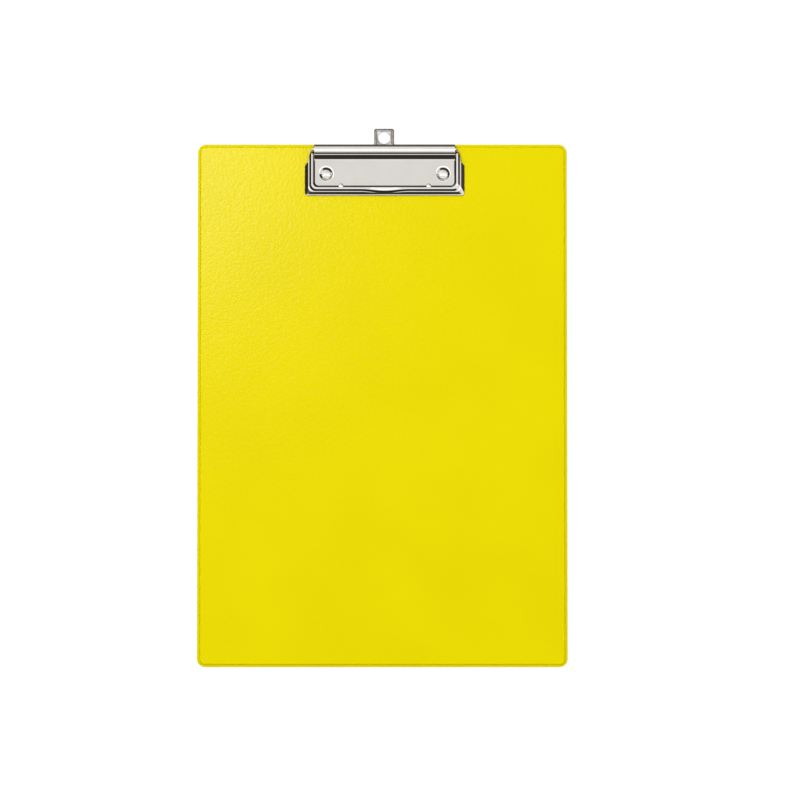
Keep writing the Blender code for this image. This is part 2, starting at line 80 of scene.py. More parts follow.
# %% Node helpers
def add_node(tree, kind, settings=None, inputs=None):
    """Add a node; settings are its own properties, inputs are values or the sockets that feed it."""
    made = tree.nodes.new(kind)
    for name, value in (settings or {}).items():
        setattr(made, name, value)
    for name, value in (inputs or {}).items():
        socket = made.inputs[name]
        if isinstance(value, bpy.types.NodeSocket):
            tree.links.new(value, socket)
        else:
            socket.default_value = value
    return made


def linear(hex_colour):
    """Turn an sRGB hex colour into the linear values that shaders use."""
    channels = [int(hex_colour[i:i + 2], 16) / 255 for i in (1, 3, 5)]
    return tuple(c / 12.92 if c <= 0.04045 else ((c + 0.055) / 1.055) ** 2.4 for c in channels) + (1.0,)


print("sRGB mid grey is", round(linear("#808080")[0], 3), "in linear light")

# %% [markdown]
# ## Helpers for pieces
#
# Shapes are built in BMesh or by modifiers and end as plain meshes at the origin. The last helper here turns
# a finished mesh into a piece: it sets the material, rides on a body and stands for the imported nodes.

# %% Piece helpers
SHARP_DEGREES = 40.0


def mesh_from(bm, name, sharp_degrees=SHARP_DEGREES):
    """Make a mesh with smooth faces and sharp creases."""
    mesh = bpy.data.meshes.new(name)
    bm.to_mesh(mesh)
    bm.free()
    mesh.shade_smooth()
    mesh.set_sharp_from_angle(angle=math.radians(sharp_degrees))
    return mesh


def plain_mesh(piece):
    """Plain mesh of a curve, or of a mesh with its modifiers."""
    bpy.context.view_layer.update()
    evaluated = piece.evaluated_get(bpy.context.evaluated_depsgraph_get())
    return bpy.data.meshes.new_from_object(evaluated)


def flatten(piece):
    """Replace a piece's mesh by what its modifiers make of it."""
    mesh = plain_mesh(piece)
    piece.modifiers.clear()
    piece.data = mesh


def link(name, mesh):
    """Put a mesh or curve into the scene as an object at the origin."""
    piece = bpy.data.objects.new(name, mesh)
    bpy.context.scene.collection.objects.link(piece)
    return piece


def install(piece, look, body, slot, *nodes):
    """Dress a piece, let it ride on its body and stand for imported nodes."""
    piece.data.materials.clear()
    piece.data.materials.append(look)
    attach(piece, body)
    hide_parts(*nodes)
    print(piece.name, "has", sum(len(face.vertices) - 2 for face in piece.data.polygons), "triangles")


print("pieces crease above", SHARP_DEGREES, "degrees")

# %% [markdown]
# ## Embossed PVC film
#
# The film is calendered PVC: a strong lemon yellow through and through, with a fine leather-like emboss that
# breaks the gloss into a mottled glare. The real grain is about half a millimetre wide, too fine for the
# picture, so it is drawn 1.9 mm wide. A slow drift of colour and gloss keeps the sheet from looking flat.

# %% Film material
GRAIN_MM = 1.9
EMBOSS_MM = 0.3
DRIFT_MM = 60.0
FILM_COLOURS = ("#DFD000", "#E2D300")
FILM_ROUGHNESS = (0.16, 0.25)
FILM_SPECULAR = 0.0125
PVC_IOR = 1.53


def make_film():
    """Yellow film: slow drift of colour, fine grain for gloss and bump."""
    look = bpy.data.materials.new("embossed PVC film")
    look.use_nodes = True
    tree = look.node_tree
    shader = tree.nodes["Principled BSDF"]
    place = add_node(tree, "ShaderNodeTexCoord").outputs["Object"]
    drift = add_node(tree, "ShaderNodeTexNoise", None,
                     {"Vector": place, "Scale": 1 / (DRIFT_MM * MM), "Detail": 2.0}).outputs["Fac"]
    colour = add_node(tree, "ShaderNodeValToRGB", None, {"Fac": drift})
    colour.color_ramp.elements[0].position = 0.35
    colour.color_ramp.elements[0].color = linear(FILM_COLOURS[0])
    colour.color_ramp.elements[1].position = 0.65
    colour.color_ramp.elements[1].color = linear(FILM_COLOURS[1])
    grain = add_node(tree, "ShaderNodeTexNoise", None,
                     {"Vector": place, "Scale": 1 / (GRAIN_MM * MM), "Detail": 2.0,
                      "Roughness": 0.5}).outputs["Fac"]
    gloss = add_node(tree, "ShaderNodeMapRange", None,
                     {"Value": grain, "From Min": 0.3, "From Max": 0.7,
                      "To Min": FILM_ROUGHNESS[0], "To Max": FILM_ROUGHNESS[1]})
    bump = add_node(tree, "ShaderNodeBump", None,
                    {"Height": grain, "Strength": 0.4, "Distance": EMBOSS_MM * MM})
    tree.links.new(colour.outputs["Color"], shader.inputs["Base Color"])
    tree.links.new(gloss.outputs["Result"], shader.inputs["Roughness"])
    tree.links.new(bump.outputs["Normal"], shader.inputs["Normal"])
    shader.inputs["IOR"].default_value = PVC_IOR
    shader.inputs["Specular IOR Level"].default_value = FILM_SPECULAR
    return look


film_look = make_film()
print(film_look.name, "grain", GRAIN_MM, "mm")

# %% [markdown]
# ## Bright nickel-plated steel
#
# The clip is pressed from cold-rolled strip and plated with bright nickel: a warm mirror with the faint
# ripple of the rolled strip under it, and gloss that varies a little where fingers touch it. The ripple is
# a few millimetres wide and almost flat; the dull patches are about a centimetre across. The hanger eye gets
# a darker copy whose small, strong dark patches are painted shade.

# %% Nickel material
RIPPLE_MM = 6.0
RIPPLE_DEPTH_MM = 0.02


def make_plating(name, light, dark, gloss_low, gloss_high, patch_mm):
    """Metal with two near colours and two roughnesses in soft patches, over a faint ripple."""
    look = bpy.data.materials.new(name)
    look.use_nodes = True
    tree = look.node_tree
    shader = tree.nodes["Principled BSDF"]
    shader.inputs["Metallic"].default_value = 1.0
    place = add_node(tree, "ShaderNodeTexCoord").outputs["Object"]
    # Soft patches: fingermarks on plate, bow and rivets; on the hanger the dark patches are painted shade
    touch_and_shade = add_node(tree, "ShaderNodeTexNoise", None,
                     {"Vector": place, "Scale": 1 / (patch_mm * MM), "Detail": 4.0}).outputs["Fac"]
    colour = add_node(tree, "ShaderNodeValToRGB", None, {"Fac": touch_and_shade})
    colour.color_ramp.elements[0].position = 0.3
    colour.color_ramp.elements[0].color = linear(dark)
    colour.color_ramp.elements[1].position = 0.7
    colour.color_ramp.elements[1].color = linear(light)
    gloss = add_node(tree, "ShaderNodeMapRange", None,
                     {"Value": touch_and_shade, "From Min": 0.3, "From Max": 0.7,
                      "To Min": gloss_low, "To Max": gloss_high})
    ripple = add_node(tree, "ShaderNodeTexNoise", None,
                      {"Vector": place, "Scale": 1 / (RIPPLE_MM * MM), "Detail": 1.0}).outputs["Fac"]
    bump = add_node(tree, "ShaderNodeBump", None,
                    {"Height": ripple, "Strength": 0.12, "Distance": RIPPLE_DEPTH_MM * MM})
    tree.links.new(colour.outputs["Color"], shader.inputs["Base Color"])
    tree.links.new(gloss.outputs["Result"], shader.inputs["Roughness"])
    tree.links.new(bump.outputs["Normal"], shader.inputs["Normal"])
    return look


plate_look = make_plating("bright nickel-plated strip", "#DEDBD7", "#DAD7D2", 0.05, 0.09, 9.0)
bow_look = make_plating("bright nickel-plated pressing", "#E4E1DE", "#DBD8D4", 0.04, 0.08, 9.0)
rivet_look = make_plating("nickel-plated rivet steel", "#ECEAE7", "#E0DEDA", 0.05, 0.10, 4.0)
# Painted shade: the hanger's copy is darker and its small strong dark patches stand in for the shade on the
# tab
hanger_shaded_look = make_plating("nickel darkened with painted shade", "#C6C3C0", "#8A8683", 0.05, 0.09, 2.5)
pin_look = make_plating("ground pin steel", "#BDBDBD", "#A8A8A8", 0.25, 0.35, 4.0)
wire_look = make_plating("drawn spring wire", "#A9A8A8", "#908F8F", 0.28, 0.4, 4.0)
for finish in (plate_look, bow_look, rivet_look, hanger_shaded_look, pin_look, wire_look):
    print(finish.name, "has", len(finish.node_tree.nodes), "nodes")

# %% [markdown]
# ## Grey board
#
# The core is solid card made from mixed waste paper. It is hidden by the films, and only shows if someone
# opens the model, so a matt grey with coarse fibre specks is enough. Core and hinge pin stay as they were
# packed and only get their materials here.

# %% Grey board material
FIBRE_MM = 1.5
core_look = bpy.data.materials.new("grey waste-paper board")
core_look.use_nodes = True
core_tree = core_look.node_tree
core_shader = core_tree.nodes["Principled BSDF"]
core_shader.inputs["Roughness"].default_value = 0.9
core_place = add_node(core_tree, "ShaderNodeTexCoord").outputs["Object"]
fibres = add_node(core_tree, "ShaderNodeTexNoise", None,
                  {"Vector": core_place, "Scale": 1 / (FIBRE_MM * MM), "Detail": 6.0}).outputs["Fac"]
core_ramp = add_node(core_tree, "ShaderNodeValToRGB", None, {"Fac": fibres})
core_ramp.color_ramp.elements[0].color = linear("#8E8A84")
core_ramp.color_ramp.elements[1].color = linear("#B5B1AA")
core_tree.links.new(core_ramp.outputs["Color"], core_shader.inputs["Base Color"])
for node_name, look in (("board_core", core_look), ("hinge_pin", pin_look)):
    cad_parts[node_name].data.materials.clear()
    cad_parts[node_name].data.materials.append(look)
print(core_look.name, "and", pin_look.name, "set on their packed nodes")

# %% [markdown]
# ## The two films and their welded rim
#
# Round the edge the films are welded together into a thin flat rim, and just inside it the film steps up
# over the core's edge. The rim follows the board's outline, so each film is a loft of rings: every ring is
# the same rounded rectangle, taken in by a set amount and raised to a set height. Offsetting the rectangle
# keeps the rings parallel even in the corners.

# %% Film rings
CORNER_STEPS = 20
RIM_SHARP_DEGREES = 50.0
# Rim from the seam at the edge over the flat weld and up the step to the face: distance in, height
RIM_LINE = ((0.0, 1.55), (0.0, 1.64), (0.08, 1.72), (0.25, 1.78), (0.6, 1.89), (1.0, 2.02), (1.34, 2.11),
            (1.44, 2.17), (1.52, 2.28), (1.62, 2.46), (1.73, 2.66), (1.84, 2.84), (1.95, 2.94), (2.05, 2.98),
            (2.2, 3.0), (3.4, 3.0))
# Underside of the film from the seam to the pocket that holds the core: distance in, height
POCKET_LINE = ((0.8, 1.55), (2.9, 1.55), (2.9, 2.65))


def ring(bm, inset, height):
    """Rounded rectangle taken in from the board's outline."""
    half_x = BOARD_WIDTH / 2 - inset
    half_y = BOARD_HEIGHT / 2 - inset
    radius = CORNER_RADIUS - inset
    verts = []
    for corner, (sx, sy) in enumerate(((1, 1), (-1, 1), (-1, -1), (1, -1))):
        for i in range(CORNER_STEPS + 1):
            turn = math.pi / 2 * (corner + i / CORNER_STEPS)
            x = sx * (half_x - radius) + radius * math.cos(turn)
            y = sy * (half_y - radius) + radius * math.sin(turn)
            verts.append(bm.verts.new((x * MM, y * MM, height * MM)))
    return verts


def bridge(bm, lower, upper):
    """Close the band between two rings with four-sided faces."""
    for i in range(len(lower)):
        j = (i + 1) % len(lower)
        bm.faces.new((lower[i], lower[j], upper[j], upper[i]))


def film_mesh(name, upper):
    """One film with its pocket; the lower film is the upper one turned over."""
    bm = bmesh.new()
    rim = [ring(bm, inset, height) for inset, height in RIM_LINE]
    pocket = [rim[0]] + [ring(bm, inset, height) for inset, height in POCKET_LINE]
    for near, far in zip(rim, rim[1:]):
        bridge(bm, near, far)
    for near, far in zip(pocket, pocket[1:]):
        bridge(bm, far, near)
    bm.faces.new(rim[-1])
    bm.faces.new(list(reversed(pocket[-1])))
    if not upper:
        turn_over = Matrix.Translation((0, 0, BOARD_THICKNESS * MM)) @ Matrix.Scale(-1, 4, (0, 0, 1))
        bm.transform(turn_over)
    bmesh.ops.recalc_face_normals(bm, faces=bm.faces)
    return mesh_from(bm, name, RIM_SHARP_DEGREES)


front_skin = link("front_skin", film_mesh("front_skin", True))
back_skin = link("back_skin", film_mesh("back_skin", False))
print("film spans", tuple(round(size / MM, 2) for size in front_skin.dimensions), "mm")

# %% [markdown]
# ## Holes for the rivets
#
# The rivets pass through both films. A Boolean with a plain cylinder makes each hole; the back film gets a
# wider one, because the rivet's tail is pressed level there.

# %% Rivet holes in the films
RIVET_X = 35.8
RIVET_DEPTH = 18.5
SHANK_HOLE_RADIUS = 1.9
TAIL_HOLE_RADIUS = 3.3
PUNCH_LENGTH = 20.0
ROUND_STEPS = 48
LEVEL = 0.9999


def punch(piece, radius):
    """Cut the two rivet holes with a cylinder."""
    for side in (-1, 1):
        bm = bmesh.new()
        bmesh.ops.create_cone(bm, cap_ends=True, segments=ROUND_STEPS, radius1=radius * MM,
                              radius2=radius * MM, depth=PUNCH_LENGTH * MM)
        bmesh.ops.translate(bm, vec=at(side * RIVET_X, RIVET_DEPTH, 0), verts=bm.verts)
        cutter = link("rivet_hole", mesh_from(bm, "rivet_hole"))
        step = piece.modifiers.new("hole", "BOOLEAN")
        step.operation = "DIFFERENCE"
        step.solver = "EXACT"
        step.object = cutter
        flatten(piece)
        bpy.data.objects.remove(cutter, do_unlink=True)


def flat_faces(piece):
    """Shade the level faces flat, so their light doesn't bend towards the rim."""
    for face in piece.data.polygons:
        if abs(face.normal.z) > LEVEL:
            face.use_smooth = False


punch(front_skin, SHANK_HOLE_RADIUS)
punch(back_skin, TAIL_HOLE_RADIUS)
flat_faces(front_skin)
flat_faces(back_skin)
install(front_skin, film_look, "board", "film", "front_film")
install(back_skin, film_look, "board", "film", "back_film")

# %% [markdown]
# ## The base plate and its hood
#
# The plate is one bent strip: flat where the rivets hold it, then swept up with a shallow step and rolled
# over into a hood that hides the hinge. What the eye reads in bright metal is slope, not height, so the
# section is written as slopes along the depth, and the heights follow by adding them up.

# %% Hood section
PLATE_DEPTH = 25.9
PLATE_TOP = 2.06
HOOD_LIFT = 0.35
HOOD_BACK = 0.4
# Slope of the strip on its way from the flat up to the hood's crown: depth, degrees
HOOD_TILT = ((9.7, 0), (9.5, 26), (9.0, 36), (8.1, 40), (7.05, 41), (6.9, 12), (6.55, 12), (6.4, 41),
             (6.1, 41), (5.8, 36), (5.55, 26), (5.2, 12), (4.6, 7), (3.8, 3), (2.9, 0))
HOOD_STEP = 0.07
HOOD_ARC_STEPS = 14
SLOT_HEIGHT = 1.45
# Depth of the dimple round a rivet: distance from its middle, sink
DIMPLE_BOWL = ((2.6, 1.2), (2.7, 1.17), (2.9, 1.02), (3.3, 0.69), (3.65, 0.4), (3.95, 0.17), (4.1, 0.09),
               (4.35, 0.05), (4.75, 0.02), (5.05, 0.0))
GRID_MM = 0.7
FINE_GRID_MM = 0.18


def follow(table, value):
    """Read a table of rising pairs, straight between its entries."""
    for (x0, y0), (x1, y1) in zip(table, table[1:]):
        if value <= x1:
            return y0 + (y1 - y0) * max(value - x0, 0.0) / (x1 - x0)
    return table[-1][1]


def grid_lines(low, high, dimples):
    """Places of grid lines from low to high, close together near the dimples."""
    places = [low]
    while places[-1] < high:
        near = min(abs(places[-1] - middle) for middle in dimples) < DIMPLE_BOWL[-1][0] + GRID_MM
        places.append(min(places[-1] + (FINE_GRID_MM if near else GRID_MM), high))
    return places


def hood_line(arc_steps):
    """Outer side of the strip from its front edge over the hood to the back edge: depth, height."""
    rising = HOOD_TILT[::-1]
    foot, crown = HOOD_TILT[0][0], HOOD_TILT[-1][0]
    rows = [(depth, PLATE_TOP) for depth in reversed(grid_lines(foot, PLATE_DEPTH, (RIVET_DEPTH,)))]
    for i in range(round((foot - crown) / HOOD_STEP)):
        depth, height = rows[-1]
        tilt = math.radians(follow(rising, depth - HOOD_STEP / 2))
        rows.append((depth - HOOD_STEP, height + HOOD_STEP * math.tan(tilt)))
    crown_height = rows[-1][1]
    for i in range(1, arc_steps + 1):
        turn = math.pi / 2 * i / arc_steps
        rows.append((crown - (crown - HOOD_BACK) * math.sin(turn),
                     crown_height - crown * (1 - math.cos(turn))))
    rows.append((HOOD_BACK, SLOT_HEIGHT))
    rows.append((HOOD_BACK, HOOD_LIFT))
    return rows


plate_rows = hood_line(HOOD_ARC_STEPS)
print("hood crown", round(max(height for depth, height in plate_rows), 2), "mm above the board")

# %% [markdown]
# ### Sheet with its dimples
#
# The strip is drawn as a grid whose rows follow the bent section, finer near the rivets. The two dimples are
# then a smooth change of height, which a Boolean could not give, and Solidify adds the strip's gauge.

# %% Base plate sheet
PLATE_HALF_WIDTH = 43.0
SLOT_HALF_WIDTH = 6.5


def dimple(x, depth):
    """How far the rivet dimples sink the strip here: a wide rim round a steep bowl."""
    return sum(follow(DIMPLE_BOWL, math.hypot(x - side * RIVET_X, depth - RIVET_DEPTH))
               for side in (-1, 1))


plate_bm = bmesh.new()
half_columns = grid_lines(SLOT_HALF_WIDTH, PLATE_HALF_WIDTH, (RIVET_X,))
slot_columns = [-SLOT_HALF_WIDTH + i for i in range(1, int(2 * SLOT_HALF_WIDTH))]
plate_columns = [-x for x in reversed(half_columns)] + slot_columns + half_columns
plate_grid = []
for depth, height in plate_rows:
    plate_grid.append([plate_bm.verts.new(at(x, depth, height - dimple(x, depth))) for x in plate_columns])
for r in range(len(plate_rows) - 1):
    for c in range(len(plate_columns) - 1):
        middle = (plate_columns[c] + plate_columns[c + 1]) / 2
        if r == len(plate_rows) - 2 and abs(middle) < SLOT_HALF_WIDTH:
            continue  # the slot for the hanger eye stays open
        plate_bm.faces.new((plate_grid[r][c], plate_grid[r][c + 1],
                            plate_grid[r + 1][c + 1], plate_grid[r + 1][c]))
loose = [vert for vert in plate_bm.verts if not vert.link_faces]
bmesh.ops.delete(plate_bm, geom=loose, context="VERTS")
base_plate = link("base_plate", mesh_from(plate_bm, "base_plate"))
gauge = base_plate.modifiers.new("gauge", "SOLIDIFY")
gauge.thickness = SHEET * MM
gauge.offset = -1.0
flatten(base_plate)
print("plate top faces up:", base_plate.data.polygons[0].normal.z > 0)

# %% [markdown]
# ## Hinge lugs under the hood
#
# Two small tabs stand inside the hood and carry the pin. Nobody sees them from above, so each is a plain
# rounded tab, joined to the plate's mesh.

# %% Lugs
LUG_X = 28.9
# Across, along the depth, up; then the middle's depth and height
LUG_SIZE = (0.6, 2.4, 3.6)
LUG_MIDDLE = (3.1, 2.4)
EDGE_ROUND = 0.1


def join(piece, parts):
    """Add further closed shapes to a piece's mesh."""
    whole = bmesh.new()
    whole.from_mesh(piece.data)
    for bm in parts:
        scratch = bpy.data.meshes.new("part")
        bm.to_mesh(scratch)
        bm.free()
        whole.from_mesh(scratch)
        bpy.data.meshes.remove(scratch)
    piece.data = mesh_from(whole, piece.name)


def lug(side):
    """Rounded tab that carries the pin on one side."""
    bm = bmesh.new()
    bmesh.ops.create_cube(bm, size=1.0)
    bmesh.ops.scale(bm, vec=[v * MM for v in LUG_SIZE], verts=bm.verts)
    bmesh.ops.translate(bm, vec=at(side * (LUG_X + LUG_SIZE[0] / 2), *LUG_MIDDLE), verts=bm.verts)
    bmesh.ops.bevel(bm, geom=bm.edges[:], offset=EDGE_ROUND * MM, segments=2, profile=0.5, affect="EDGES")
    return bm


join(base_plate, [lug(-1), lug(1)])
install(base_plate, plate_look, "board", "nickel", "clip_base_plate")

# %% [markdown]
# ## The bow
#
# The bow is pressed from one sheet: a rounded bead next to the plate, a narrow ledge, and a skirt that slopes
# down to the paper. Each line of the section runs down the left arm, round two corners and up the right arm.
# The corners are tight at the skirt and wider at the bead, so the lines are lofted, not swept. A cosine
# bulge in the middle of the bar makes the finger lip.

# %% Bow section
# Inner edge outward: half width, depth, corner radius, height, share of the finger lip, lift along the bar
BOW_SECTION = (
    (42.55, 25.65, 2.3, 2.8, 0.0, 0.35),
    (42.95, 26.05, 2.5, 3.2, 0.0, 0.25),
    (43.4, 26.5, 2.7, 3.62, 0.0, 0.12),
    (43.8, 26.85, 2.9, 3.92, 0.0, 0.04),
    (44.3, 27.35, 3.1, 4.05, 0.15, 0.0),
    (44.8, 27.85, 3.3, 4.01, 0.9, 0.0),
    (45.3, 28.35, 3.5, 3.6, 1.0, 0.0),
    (45.8, 28.8, 3.6, 3.15, 1.0, 0.0),
    (46.05, 29.05, 3.6, 2.95, 1.0, 0.0),
    (46.35, 29.35, 3.5, 2.88, 0.85, 0.0),
    (46.75, 29.6, 3.2, 2.76, 0.7, 0.0),
    (47.2, 30.0, 2.8, 2.38, 0.55, 0.0),
    (47.7, 30.45, 2.3, 1.93, 0.35, 0.02),
    (48.05, 30.75, 2.1, 1.61, 0.25, 0.1),
    (48.4, 31.05, 1.9, 1.29, 0.12, 0.27),
    (48.8, 31.4, 1.8, 0.93, 0.0, 0.5),
)
LIP_LENGTH = 30.0
LIP_BULGE = 1.0
# How far the lip's middle is sunk along the section (raised where negative), so the skirt squeezed below it
# keeps its slope: half width, sink
LIP_DISH = ((43.8, 0.0), (44.3, 0.25), (44.8, 0.31), (45.3, 0.37), (45.8, 0.3), (46.05, 0.31), (46.35, 0.37),
            (46.75, 0.33), (47.2, 0.16), (47.7, -0.06), (48.05, -0.2), (48.4, -0.31), (48.8, -0.34))
# Where each line of an arm starts below the top edge: half width, depth
ARM_START = ((42.5, 10.3), (43.2, 10.3), (43.35, 6.4), (44.75, 6.0), (44.8, 4.9), (45.2, 5.3), (45.9, 6.8),
             (46.25, 8.6), (46.35, 11.0), (46.9, 11.5), (47.8, 12.0), (48.6, 13.0), (48.8, 13.6))
SECTION_STEPS = 4


def smooth_section(stations, steps):
    """Catmull-Rom curve through the section's stations."""
    rows = []
    for k in range(len(stations) - 1):
        a, b, c, d = (stations[min(max(k + i, 0), len(stations) - 1)] for i in (-1, 0, 1, 2))
        for i in range(steps):
            t = i / steps
            rows.append(tuple(0.5 * (2 * q + (r - p) * t + (2 * p - 5 * q + 4 * r - s) * t * t
                                     + (3 * q - p - 3 * r + s) * t ** 3) for p, q, r, s in zip(a, b, c, d)))
    rows.append(stations[-1])
    return rows


bow_rows = smooth_section(BOW_SECTION, SECTION_STEPS)
print(len(bow_rows), "lines in the bow's section")

# %% [markdown]
# ### Loft and gauge
#
# Every line gets the same number of points, so neighbouring lines can be bridged with plain four-sided
# faces. The arms' lines start at unlike depths, which cuts the necks and the skirt's rounded ends without
# any Boolean. Solidify then gives the sheet its gauge towards the inside.

# %% Bow sheet
ARM_POINTS = 24
BOW_CORNER_STEPS = 14
LIP_POINTS = 48


def lip(x):
    """Share of the finger lip's swell at a position across the bow."""
    if abs(x) >= LIP_LENGTH / 2:
        return 0.0
    return math.cos(math.pi * x / LIP_LENGTH) ** 2


def bow_line(half_width, depth, radius, height, share, lift):
    """One line of the section: down the left arm, along the bar with its lip, up the right arm."""
    start = follow(ARM_START, half_width)
    corner_top = depth - radius
    left = [(-half_width, start + (corner_top - start) * i / ARM_POINTS, height)
            for i in range(ARM_POINTS)]
    for i in range(BOW_CORNER_STEPS + 1):
        turn = math.pi / 2 * i / BOW_CORNER_STEPS
        left.append((-half_width + radius * (1 - math.cos(turn)), depth - radius * (1 - math.sin(turn)),
                     height + lift * math.sin(turn) ** 4))
    middle = []
    for i in range(LIP_POINTS + 1):
        x = LIP_LENGTH * (i / LIP_POINTS - 0.5)
        dish = follow(LIP_DISH, half_width) * lip(x)
        middle.append((x, depth + LIP_BULGE * share * lip(x), height + lift - dish))
    right = [(-x, y, z) for x, y, z in reversed(left)]
    return [at(*point) for point in left + middle + right]


bow_bm = bmesh.new()
lines = [[bow_bm.verts.new(point) for point in bow_line(*row)] for row in bow_rows]
for near, far in zip(lines, lines[1:]):
    for i in range(len(near) - 1):
        bow_bm.faces.new((near[i], far[i], far[i + 1], near[i + 1]))
bow = link("bow", mesh_from(bow_bm, "bow"))
top_face = max(bow.data.polygons, key=lambda face: face.center.z)
bow_gauge = bow.modifiers.new("gauge", "SOLIDIFY")
bow_gauge.thickness = SHEET * MM
bow_gauge.offset = -1.0 if top_face.normal.z > 0 else 1.0
flatten(bow)
print("bow crown normal", tuple(round(v, 2) for v in top_face.normal))

# %% [markdown]
# ### Necks, knuckles and rest pips
#
# At the top of each arm a web slopes down to a round knuckle that turns on the pin. On the bar's inner edge
# two small pips rest over the plate. They are separate closed shapes in the bow's mesh.

# %% Webs, knuckles and pips
# Outline of a web across the arm: across, height
WEB_SECTION = ((43.5, 0.95), (45.2, 0.95), (45.2, 3.4), (44.8, 3.4), (43.5, 1.5))
WEB_BACK_DEPTH = 4.0
WEB_FRONT_DEPTH = 10.6
WEB_ROUND = 0.12
# Knuckle and its collar: from and to across the clip, radius
KNUCKLE = (40.6, 43.8, 1.55)
COLLAR = (40.6, 41.6, 2.1)
PIP_X = 26.8
PIP_DEPTH = 26.05
PIP_HEIGHT = 3.5
PIP_RADIUS = 1.65
PIP_FLATNESS = 0.35
SAME_HEIGHT = 1e-9


def web(side):
    """Sloping strip from an arm's top to the knuckle."""
    bm = bmesh.new()
    face = bm.faces.new([bm.verts.new(at(side * x, WEB_BACK_DEPTH, height)) for x, height in WEB_SECTION])
    made = bmesh.ops.extrude_face_region(bm, geom=[face])["geom"]
    moved = [item for item in made if isinstance(item, bmesh.types.BMVert)]
    bmesh.ops.translate(bm, vec=(0, (WEB_BACK_DEPTH - WEB_FRONT_DEPTH) * MM, 0), verts=moved)
    bmesh.ops.recalc_face_normals(bm, faces=bm.faces)
    bmesh.ops.bevel(bm, geom=bm.edges[:], offset=WEB_ROUND * MM, segments=2, profile=0.5, affect="EDGES")
    return bm


def turned(side, x_low, x_high, radius):
    """Round shape on the hinge axis."""
    bm = bmesh.new()
    bmesh.ops.create_cone(bm, cap_ends=True, segments=ROUND_STEPS, radius1=radius * MM, radius2=radius * MM,
                          depth=(x_high - x_low) * MM)
    rims = [edge for edge in bm.edges if abs(edge.verts[0].co.z - edge.verts[1].co.z) < SAME_HEIGHT]
    bmesh.ops.bevel(bm, geom=rims, offset=EDGE_ROUND * MM, segments=2, profile=0.5, affect="EDGES")
    bmesh.ops.rotate(bm, matrix=Matrix.Rotation(math.pi / 2, 3, "Y"), verts=bm.verts)
    bmesh.ops.translate(bm, vec=at(side * (x_low + x_high) / 2, PIN_DEPTH, PIN_HEIGHT), verts=bm.verts)
    return bm


def pip(side):
    """Flattened ball on the bar's inner edge."""
    bm = bmesh.new()
    bmesh.ops.create_uvsphere(bm, u_segments=32, v_segments=16, radius=PIP_RADIUS * MM)
    bmesh.ops.scale(bm, vec=(1, 1, PIP_FLATNESS), verts=bm.verts)
    bmesh.ops.translate(bm, vec=at(side * PIP_X, PIP_DEPTH, PIP_HEIGHT), verts=bm.verts)
    return bm


extras = []
for side in (-1, 1):
    extras += [web(side), turned(side, *KNUCKLE), turned(side, *COLLAR), pip(side)]
join(bow, extras)
install(bow, bow_look, "bow", "nickel", "clamp_bow")

# %% [markdown]
# ## The hanger eye
#
# The eye is a stamped tab with a folded edge and a round hole for a hook; its wide tail stays behind the
# hood's slot. A filled 2D curve is the quickest way to a stamped plate with a hole: the inner circle is cut
# out by the fill, Extrude gives the gauge and a small bevel rounds the cut edges.

# %% Hanger plate
HANGER_HALF_WIDTH = 6.1
HANGER_REACH = 9.499
HANGER_TAIL_DEPTH = 10.0
HANGER_TAIL_HALF = 9.0
HANGER_SHOULDER = 0.95
HANGER_BOTTOM = 0.25
HANGER_SHEET = 0.55
HANGER_HOLE_RADIUS = 3.7
HANGER_HOLE_REACH = 3.9
HANGER_EDGE = 0.2
HANGER_CORNER = 1.2
HANGER_CORNER_STEPS = 8
HOLE_POINTS = 64
# The tab has a little play in its slot and lies to the left
HANGER_PLAY = -0.35


def rounded_top(half_width, reach, radius, foot):
    """Outline of a tab from its right foot over two rounded corners to its left foot: across, depth."""
    points = [(half_width, foot)]
    for centre, first in ((half_width - radius, 0.0), (radius - half_width, math.pi / 2)):
        for i in range(HANGER_CORNER_STEPS + 1):
            turn = first + math.pi / 2 * i / HANGER_CORNER_STEPS
            points.append((centre + radius * math.cos(turn), -reach + radius - radius * math.sin(turn)))
    points.append((-half_width, foot))
    return points


tab_outline = rounded_top(HANGER_HALF_WIDTH, HANGER_REACH, HANGER_CORNER, HANGER_SHOULDER)
tab_outline += [(-HANGER_TAIL_HALF, HANGER_SHOULDER), (-HANGER_TAIL_HALF, HANGER_TAIL_DEPTH),
                (HANGER_TAIL_HALF, HANGER_TAIL_DEPTH), (HANGER_TAIL_HALF, HANGER_SHOULDER)]
hole_turns = [2 * math.pi * i / HOLE_POINTS for i in range(HOLE_POINTS)]
hole_outline = [(HANGER_HOLE_RADIUS * math.cos(turn),
                 -HANGER_HOLE_REACH + HANGER_HOLE_RADIUS * math.sin(turn)) for turn in hole_turns]
tab_curve = bpy.data.curves.new("hanger", "CURVE")
tab_curve.dimensions = "2D"
tab_curve.fill_mode = "BOTH"
tab_curve.extrude = (HANGER_SHEET / 2 - HANGER_EDGE) * MM
tab_curve.bevel_depth = HANGER_EDGE * MM
tab_curve.bevel_resolution = 2
tab_curve.offset = -HANGER_EDGE * MM
for outline in (tab_outline, hole_outline):
    strand = tab_curve.splines.new("POLY")
    strand.points.add(len(outline) - 1)
    strand.use_cyclic_u = True
    for knot, (x, depth) in zip(strand.points, outline):
        knot.co = (*at(x + HANGER_PLAY, depth, 0)[:2], 0.0, 1.0)
hanger = link("hanger", tab_curve)
tab_mesh = plain_mesh(hanger)
bpy.data.objects.remove(hanger, do_unlink=True)
print("hanger outline has", len(tab_outline), "points")

# %% [markdown]
# ### Folded edge
#
# The tab's edge is folded over into a raised rim with sloping sides, which gives the eye its dark outline.
# The rim follows the tab's outline, so it is lofted like the film: the same open line, taken in step by
# step, with tighter corners each time.

